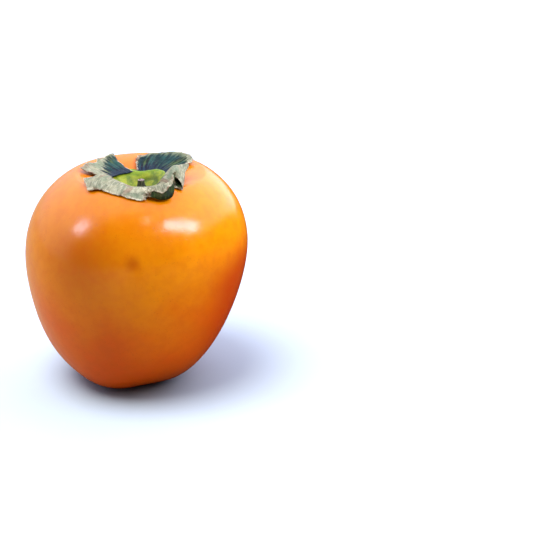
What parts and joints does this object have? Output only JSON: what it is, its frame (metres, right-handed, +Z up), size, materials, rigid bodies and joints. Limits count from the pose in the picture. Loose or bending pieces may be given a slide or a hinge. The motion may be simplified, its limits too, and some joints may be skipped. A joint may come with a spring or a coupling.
{
  "type": "persimmon",
  "caption": "Whole ripe persimmon standing on its flower end, with its dry lobed calyx and a short cut stem stub.",
  "frame": {"origin": "on the surface the fruit stands on, below the middle of its girth", "axes": "+Z up through the stem end; -Y is the side with the calyx lobe that hangs over the crest"},
  "size_m": [0.078, 0.078, 0.082],
  "materials": {
    "skin": null,
    "calyx": null,
    "stem": "dark dry woody stub with a pale cut end"
  },
  "bodies": {
    "root": {"fruit": "skin", "calyx": "calyx", "stem": "stem"}
  },
  "joints": []
}
